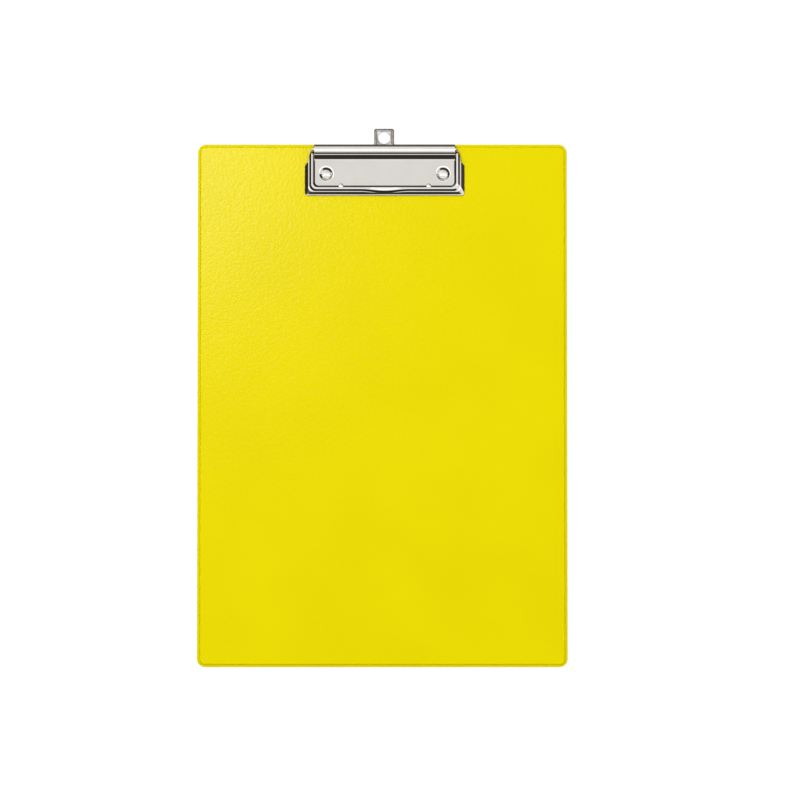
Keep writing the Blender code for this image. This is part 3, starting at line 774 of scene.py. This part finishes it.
# %% Hanger rim
# Section of the rim: distance in from the tab's edge, height above its underside
RIM_SECTION = ((0.0, 0.0), (0.0, 0.2), (0.06, 0.32), (0.62, 0.82), (0.78, 0.89), (1.0, 0.9), (1.16, 0.86),
               (1.6, 0.58), (1.75, 0.53), (1.9, 0.5), (1.9, 0.0))
RIM_FOOT = 2.0
TIGHTEST_CORNER = 0.1
MERGE_DISTANCE = 1e-7
rim_bm = bmesh.new()
rim_lines = []
for inset, height in RIM_SECTION:
    corner = max(HANGER_CORNER - inset, TIGHTEST_CORNER)
    line = rounded_top(HANGER_HALF_WIDTH - inset, HANGER_REACH - inset, corner, RIM_FOOT)
    rim_lines.append([rim_bm.verts.new(at(x + HANGER_PLAY, depth, HANGER_BOTTOM + height))
                      for x, depth in line])
for near, far in zip(rim_lines, rim_lines[1:] + rim_lines[:1]):
    for i in range(len(near) - 1):
        rim_bm.faces.new((near[i], near[i + 1], far[i + 1], far[i]))
for end in (0, -1):
    rim_bm.faces.new([line[end] for line in rim_lines])
bmesh.ops.recalc_face_normals(rim_bm, faces=rim_bm.faces)
tab_mesh.transform(Matrix.Translation((0, 0, (BOARD_THICKNESS + HANGER_BOTTOM + HANGER_SHEET / 2) * MM)))
tab_bm = bmesh.new()
tab_bm.from_mesh(tab_mesh)
bmesh.ops.remove_doubles(tab_bm, verts=tab_bm.verts, dist=MERGE_DISTANCE)
bmesh.ops.recalc_face_normals(tab_bm, faces=tab_bm.faces)
hanger_tab = link("hanger_tab", mesh_from(tab_bm, "hanger_tab"))
join(hanger_tab, [rim_bm])
install(hanger_tab, hanger_shaded_look, "hanger", "nickel", "hanger_eye")

# %% [markdown]
# ## Rivets
#
# Two turned rivets hold the clip: a low dome that sits in the dimple, a shank, and a tail pressed level with
# the back. A lathe would turn it, and so does the Screw modifier: it spins half a profile round the axis.
# The Screw leaves doubled points on the axis, which are merged before the normals are set.

# %% One turned rivet
HEAD_BASE = 0.7
HEAD_TOP = 1.45
HEAD_RADIUS = 2.45
HEAD_EDGE = 0.98
DOME_STEPS = 16
SHANK_RADIUS = 1.7
TAIL_RADIUS = 3.0
TAIL_TOP = -2.4
TAIL_BOTTOM = -2.9
TAIL_ROUND_HEIGHT = 0.05
TAIL_ROUND_WIDTH = 0.1
SPIN_STEPS = 64
# Profile down the outer side: radius, height above the board's face
rivet_profile = [(HEAD_RADIUS * i / DOME_STEPS, HEAD_TOP - (HEAD_TOP - HEAD_EDGE) * (i / DOME_STEPS) ** 2)
                 for i in range(DOME_STEPS + 1)]
rivet_profile += [(HEAD_RADIUS, HEAD_BASE), (SHANK_RADIUS, HEAD_BASE), (SHANK_RADIUS, TAIL_TOP),
                  (TAIL_RADIUS, TAIL_TOP), (TAIL_RADIUS, TAIL_BOTTOM + TAIL_ROUND_HEIGHT),
                  (TAIL_RADIUS - TAIL_ROUND_WIDTH, TAIL_BOTTOM), (0.0, TAIL_BOTTOM)]
rivet_bm = bmesh.new()
rivet_verts = [rivet_bm.verts.new((r * MM, 0, z * MM)) for r, z in rivet_profile]
for pair in zip(rivet_verts, rivet_verts[1:]):
    rivet_bm.edges.new(pair)
rivet_one = link("rivet_one", mesh_from(rivet_bm, "rivet_one"))
spin = rivet_one.modifiers.new("spin", "SCREW")
spin.steps = SPIN_STEPS
spin.render_steps = SPIN_STEPS
spin.use_merge_vertices = True
spin.merge_threshold = 10 * MERGE_DISTANCE
flatten(rivet_one)
turned_bm = bmesh.new()
turned_bm.from_mesh(rivet_one.data)
bmesh.ops.remove_doubles(turned_bm, verts=turned_bm.verts, dist=MERGE_DISTANCE)
bmesh.ops.recalc_face_normals(turned_bm, faces=turned_bm.faces)
rivet_one.data = mesh_from(turned_bm, "rivet_one")
print("rivet profile has", len(rivet_profile), "points")

# %% [markdown]
# ### A pair of rivets
#
# Both rivets are alike, so the turned one is set on two points instead of being built twice. A small geometry
# tree does it: a mesh line of two points, instances on them, and Realize Instances to get a plain mesh back.

# %% Rivets on their points
def socket_id(tree, name):
    """Identifier of a tree's input, by which a modifier sets it."""
    return next(item.identifier for item in tree.interface.items_tree if item.name == name)


def pair_tree(look):
    """Geometry nodes that set one object on two points along X."""
    tree = bpy.data.node_groups.new("Rivet Pair", "GeometryNodeTree")
    tree.interface.new_socket("Geometry", in_out="INPUT", socket_type="NodeSocketGeometry")
    tree.interface.new_socket("Rivet", in_out="INPUT", socket_type="NodeSocketObject")
    tree.interface.new_socket("First", in_out="INPUT", socket_type="NodeSocketVector")
    tree.interface.new_socket("Spacing", in_out="INPUT", socket_type="NodeSocketVector")
    tree.interface.new_socket("Rivets", in_out="OUTPUT", socket_type="NodeSocketGeometry")
    given = add_node(tree, "NodeGroupInput").outputs
    points = add_node(tree, "GeometryNodeMeshLine", {"mode": "OFFSET"},
                      {"Count": 2, "Start Location": given["First"], "Offset": given["Spacing"]})
    shape = add_node(tree, "GeometryNodeObjectInfo", {"transform_space": "ORIGINAL"},
                     {"Object": given["Rivet"]})
    copies = add_node(tree, "GeometryNodeInstanceOnPoints", None,
                      {"Points": points.outputs["Mesh"], "Instance": shape.outputs["Geometry"]})
    real = add_node(tree, "GeometryNodeRealizeInstances", None, {"Geometry": copies.outputs["Instances"]})
    dressed = add_node(tree, "GeometryNodeSetMaterial", None,
                       {"Geometry": real.outputs["Geometry"], "Material": look})
    add_node(tree, "NodeGroupOutput", None, {"Rivets": dressed.outputs["Geometry"]})
    return tree


rivets = link("rivets", bpy.data.meshes.new("rivets"))
rivet_tree = pair_tree(rivet_look)
setter = rivets.modifiers.new("pair", "NODES")
setter.node_group = rivet_tree
setter[socket_id(rivet_tree, "Rivet")] = rivet_one
setter[socket_id(rivet_tree, "First")] = at(-RIVET_X, RIVET_DEPTH, 0)
setter[socket_id(rivet_tree, "Spacing")] = (2 * RIVET_X * MM, 0.0, 0.0)
flatten(rivets)
bpy.data.objects.remove(rivet_one, do_unlink=True)
install(rivets, rivet_look, "board", "rivet", "rivet_left", "rivet_right")

# %% [markdown]
# ## Torsion springs
#
# Under the hood a coil spring on each side presses the bow shut. Its wire follows a helix. A bevelled curve
# could draw it too, but a curve-to-mesh tree closes the wire's ends and keeps radius and sides as inputs.

# %% Wire sweep tree
def sweep_tree(look):
    """Geometry nodes that sweep a round section along a curve."""
    tree = bpy.data.node_groups.new("Swept Wire", "GeometryNodeTree")
    tree.interface.new_socket("Path", in_out="INPUT", socket_type="NodeSocketGeometry")
    tree.interface.new_socket("Radius", in_out="INPUT", socket_type="NodeSocketFloat")
    tree.interface.new_socket("Sides", in_out="INPUT", socket_type="NodeSocketInt")
    tree.interface.new_socket("Wire", in_out="OUTPUT", socket_type="NodeSocketGeometry")
    given = add_node(tree, "NodeGroupInput").outputs
    section = add_node(tree, "GeometryNodeCurvePrimitiveCircle", None,
                       {"Resolution": given["Sides"], "Radius": given["Radius"]})
    swept = add_node(tree, "GeometryNodeCurveToMesh", None,
                     {"Curve": given["Path"], "Profile Curve": section.outputs["Curve"], "Fill Caps": True})
    real = add_node(tree, "GeometryNodeRealizeInstances", None, {"Geometry": swept.outputs["Mesh"]})
    dressed = add_node(tree, "GeometryNodeSetMaterial", None,
                       {"Geometry": real.outputs["Geometry"], "Material": look})
    add_node(tree, "NodeGroupOutput", None, {"Wire": dressed.outputs["Geometry"]})
    return tree


def swept_wire(points, tree, radius, sides):
    """Closed shape of a round section swept along points."""
    path = bpy.data.curves.new("path", "CURVE")
    path.dimensions = "3D"
    strand = path.splines.new("POLY")
    strand.points.add(len(points) - 1)
    for knot, point in zip(strand.points, points):
        knot.co = (*point, 1.0)
    holder = link("path", path)
    step = holder.modifiers.new("sweep", "NODES")
    step.node_group = tree
    step[socket_id(tree, "Radius")] = radius * MM
    step[socket_id(tree, "Sides")] = sides
    mesh = plain_mesh(holder)
    bpy.data.objects.remove(holder, do_unlink=True)
    bm = bmesh.new()
    bm.from_mesh(mesh)
    bpy.data.meshes.remove(mesh)
    bmesh.ops.remove_doubles(bm, verts=bm.verts, dist=MERGE_DISTANCE)
    bmesh.ops.recalc_face_normals(bm, faces=bm.faces)
    return bm


wire_tree = sweep_tree(wire_look)
print("sweep tree has", len(wire_tree.nodes), "nodes")

# %% [markdown]
# ### Coils and their legs
#
# The helix winds round the pin between lug and knuckle. Each end of the wire leaves the coil along the pin's
# direction: one leg reaches into the lug, the other into the knuckle, so turning the bow winds the spring.

# %% Springs
COIL_RADIUS = 1.5
COIL_TURNS = 8
COIL_START_X = 30.4
COIL_END_X = 39.9
WIRE_RADIUS = 0.35
WIRE_SIDES = 12
STEPS_PER_TURN = 24
LUG_LEG_X = 29.2
KNUCKLE_LEG_X = 41.2


def spring_path(side):
    """Points along one spring's wire, from the lug through the coil to the knuckle."""
    count = COIL_TURNS * STEPS_PER_TURN
    leg_height = PIN_HEIGHT - COIL_RADIUS
    points = [at(side * x, PIN_DEPTH, leg_height) for x in (LUG_LEG_X, COIL_START_X - WIRE_RADIUS)]
    for i in range(count + 1):
        turn = 2 * math.pi * COIL_TURNS * i / count - math.pi / 2
        x = COIL_START_X + (COIL_END_X - COIL_START_X) * i / count
        points.append(at(side * x, PIN_DEPTH + COIL_RADIUS * math.cos(turn),
                         PIN_HEIGHT + COIL_RADIUS * math.sin(turn)))
    points += [at(side * x, PIN_DEPTH, leg_height) for x in (COIL_END_X + WIRE_RADIUS, KNUCKLE_LEG_X)]
    return points


for side, hand in ((-1, "left"), (1, "right")):
    wire_bm = swept_wire(spring_path(side), wire_tree, WIRE_RADIUS, WIRE_SIDES)
    coil = link("coil_" + hand, mesh_from(wire_bm, "coil_" + hand))
    install(coil, wire_look, "board", "wire", "torsion_spring_" + hand)

# %% [markdown]
# ## Floor
#
# The board lies on a white sheet. A truly white floor would throw its light back at the metal's edges and the
# rim, so the sheet itself is dark and only glows white for the camera's own rays.

# %% Floor
FLOOR_HALF_WIDTH = 1.6
FLOOR_DROP = 0.0001
floor_bm = bmesh.new()
bmesh.ops.create_grid(floor_bm, x_segments=1, y_segments=1, size=FLOOR_HALF_WIDTH)
floor = link("floor", mesh_from(floor_bm, "floor"))
floor.location.z = -FLOOR_DROP
floor_look = bpy.data.materials.new("white paper sweep")
floor_look.use_nodes = True
floor_tree = floor_look.node_tree
floor_shader = floor_tree.nodes["Principled BSDF"]
floor_shader.inputs["Base Color"].default_value = (0.14, 0.13, 0.12, 1.0)
floor_shader.inputs["Roughness"].default_value = 0.95
floor_shader.inputs["Specular IOR Level"].default_value = 0.0
# Only the camera sees this glow, so the sheet looks white while it lights nothing
floor_shader.inputs["Emission Color"].default_value = (0.92, 0.92, 0.92, 1.0)
floor_rays = add_node(floor_tree, "ShaderNodeLightPath")
floor_tree.links.new(floor_rays.outputs["Is Camera Ray"], floor_shader.inputs["Emission Strength"])
floor.data.materials.append(floor_look)
print("floor spans", round(floor.dimensions.x, 2), "m")

# %% [markdown]
# ## Studio round the metal
#
# Bright metal shows its surroundings more than itself, so the studio is part of the look: pale overhead, dark
# low down, which draws the dark lines along the pressed edges. A picture of a studio could be wrapped round
# the scene, but a few nodes do it without a file: the height of each direction picks its brightness from a
# ramp, and cards that stand round the board raise that height where they face.

# %% World
world = bpy.data.worlds.new("studio")
bpy.context.scene.world = world
world.use_nodes = True
studio = world.node_tree
studio.nodes.clear()
way = add_node(studio, "ShaderNodeTexCoord").outputs["Generated"]
axes = add_node(studio, "ShaderNodeSeparateXYZ", None, {"Vector": way})

# The pale backdrop comes down behind and to the left, a card stands on the right and a low one in front:
# direction, where its edge fades in and is full, how much it raises the height
CARDS = (((-0.6, 0.8, 0.0), 0.5, 0.9, 0.38), ((0.92, -0.39, 0.0), 0.6, 0.95, 0.52),
         ((-0.707, -0.707, 0.0), 0.965, 0.99, 0.75))
SKY_DARK = (0.020, 0.017, 0.018, 1.0)
SKY_DUSK = (0.07, 0.058, 0.048, 1.0)
SKY_PALE = (0.98, 0.97, 0.96, 1.0)


def facing(direction, low, high, most):
    """How much of something in this direction a ray meets, with a soft edge."""
    side = add_node(studio, "ShaderNodeVectorMath", {"operation": "DOT_PRODUCT"}, {0: way, 1: direction})
    share = add_node(studio, "ShaderNodeMapRange", {"interpolation_type": "SMOOTHSTEP"},
                     {"Value": side.outputs["Value"], "From Min": low, "From Max": high, "To Max": most})
    return share.outputs["Result"]


raised = axes.outputs["Z"]
for card in CARDS:
    raised = add_node(studio, "ShaderNodeMath", {"operation": "ADD"},
                      {0: raised, 1: facing(*card)}).outputs["Value"]
ramp = add_node(studio, "ShaderNodeValToRGB", None, {"Fac": raised})
ramp.color_ramp.elements[0].position = 0.10
ramp.color_ramp.elements[0].color = SKY_DARK
ramp.color_ramp.elements[1].position = 0.82
ramp.color_ramp.elements[1].color = SKY_PALE
ramp.color_ramp.elements.new(0.60).color = SKY_DUSK
print("sky has", len(CARDS), "cards")

# %% [markdown]
# ### Lamps overhead
#
# A strip of lamps runs across just in front of the zenith and a round one hangs left of it. Mirrored in the
# crests of hood, bead and rivets they draw the white lines. They multiply the sky, so they are written as
# levels along Y, where 0.5 on the ramp is the zenith, and the background's strength makes up for the rest.

# %% Overhead lamps
STRIP_GAIN = 1.6
BASE = 1 / STRIP_GAIN
STRIP_START = (0.43, BASE)
STRIP_END = (0.45, 1.0)
STRIP_STEPS = ((0.525, 1.0), (0.54, BASE), (0.61, BASE), (0.64, 0.8), (0.68, 0.8),
               (0.71, 0.8 * BASE), (0.78, BASE))
SPOT = ((-0.28, 0.13, 0.951), 0.985, 0.994, 1.0)
WHITE = (1.0, 1.0, 1.0, 1.0)
across = add_node(studio, "ShaderNodeMapRange", None,
                  {"Value": axes.outputs["Y"], "From Min": -1.0, "From Max": 1.0})
strip = add_node(studio, "ShaderNodeValToRGB", None, {"Fac": across.outputs["Result"]})
for element, (position, level) in zip(strip.color_ramp.elements, (STRIP_START, STRIP_END)):
    element.position = position
    element.color = (level, level, level, 1.0)
for position, level in STRIP_STEPS:
    strip.color_ramp.elements.new(position).color = (level, level, level, 1.0)
# A colour mix has its two colours at inputs 6 and 7 and its result at output 2
lamps = add_node(studio, "ShaderNodeMix", {"data_type": "RGBA"},
                 {"Factor": facing(*SPOT), 6: strip.outputs["Color"], 7: WHITE})
sky = add_node(studio, "ShaderNodeMix", {"data_type": "RGBA", "blend_type": "MULTIPLY"},
               {"Factor": 1.0, 6: ramp.outputs["Color"], 7: lamps.outputs[2]})
rays = add_node(studio, "ShaderNodeLightPath")
around = add_node(studio, "ShaderNodeBackground", None, {"Color": sky.outputs[2], "Strength": STRIP_GAIN})
white = add_node(studio, "ShaderNodeBackground", None, {"Color": WHITE, "Strength": 1.0})
seen = add_node(studio, "ShaderNodeMixShader", None,
                {"Fac": rays.outputs["Is Camera Ray"], 1: around.outputs["Background"],
                 2: white.outputs["Background"]})
add_node(studio, "ShaderNodeOutputWorld", None, {"Surface": seen.outputs["Shader"]})
print("studio has", len(studio.nodes), "nodes")

# %% [markdown]
# ## Key lamp and its glare
#
# A soft round lamp high on the left lights the film and gives it a mottled glare. One lamp can't do both
# here: the film must mirror little of the pale studio, or its yellow turns milky, and then its glare would be
# too weak. So a second lamp in the same place gives gloss only. Light linking keeps both to the film and the
# floor, because their mirror images would burn white spots into every bend of the metal.

# %% Lamps
LAMP_PLACE = (-0.385, 0.41, 1.6)
LAMP_SIZE = 0.45
KEY_WATTS = 12.5
GLARE_WATTS = 46.0


def soft_lamp(name, place, aim, size, watts):
    """Round area lamp that looks from a place at an aim."""
    data = bpy.data.lights.new(name, "AREA")
    data.shape = "DISK"
    data.size = size
    data.energy = watts
    lamp = bpy.data.objects.new(name, data)
    bpy.context.scene.collection.objects.link(lamp)
    lamp.location = place
    lamp.rotation_euler = (Vector(aim) - Vector(place)).to_track_quat("-Z", "Y").to_euler()
    return lamp


key = soft_lamp("key", LAMP_PLACE, (0, 0, 0), LAMP_SIZE, KEY_WATTS)
glare = soft_lamp("glare", LAMP_PLACE, (0, 0, 0), LAMP_SIZE, GLARE_WATTS)
glare.visible_diffuse = False
lamp_lights = bpy.data.collections.new("lamp_lights")
for lit in (front_skin, back_skin, floor):
    lamp_lights.objects.link(lit)
for lamp in (key, glare):
    lamp.light_linking.receiver_collection = lamp_lights

# %% [markdown]
# ## Camera
#
# The picture is taken from almost straight above with a long lens; the lower edge of the board is a touch
# nearer than the upper one, which the small tilt gives.

# %% Camera
CAMERA_DISTANCE = 1.3573
CAMERA_TILT = math.radians(1.47)
CAMERA_AIM = Vector((0.0108, 0.0031, 0.003))
LENS_MM = 100.0
SENSOR_MM = 36.0
camera_data = bpy.data.cameras.new("camera")
camera_data.lens = LENS_MM
camera_data.sensor_width = SENSOR_MM
camera = bpy.data.objects.new("camera", camera_data)
bpy.context.scene.collection.objects.link(camera)
camera.location = CAMERA_AIM + CAMERA_DISTANCE * Vector((0, -math.sin(CAMERA_TILT), math.cos(CAMERA_TILT)))
camera.rotation_euler = (CAMERA_TILT, 0.0, 0.0)
bpy.context.scene.camera = camera
bpy.context.scene.view_settings.view_transform = "Standard"
print("camera stands", round(camera.location.z, 3), "m above the floor")
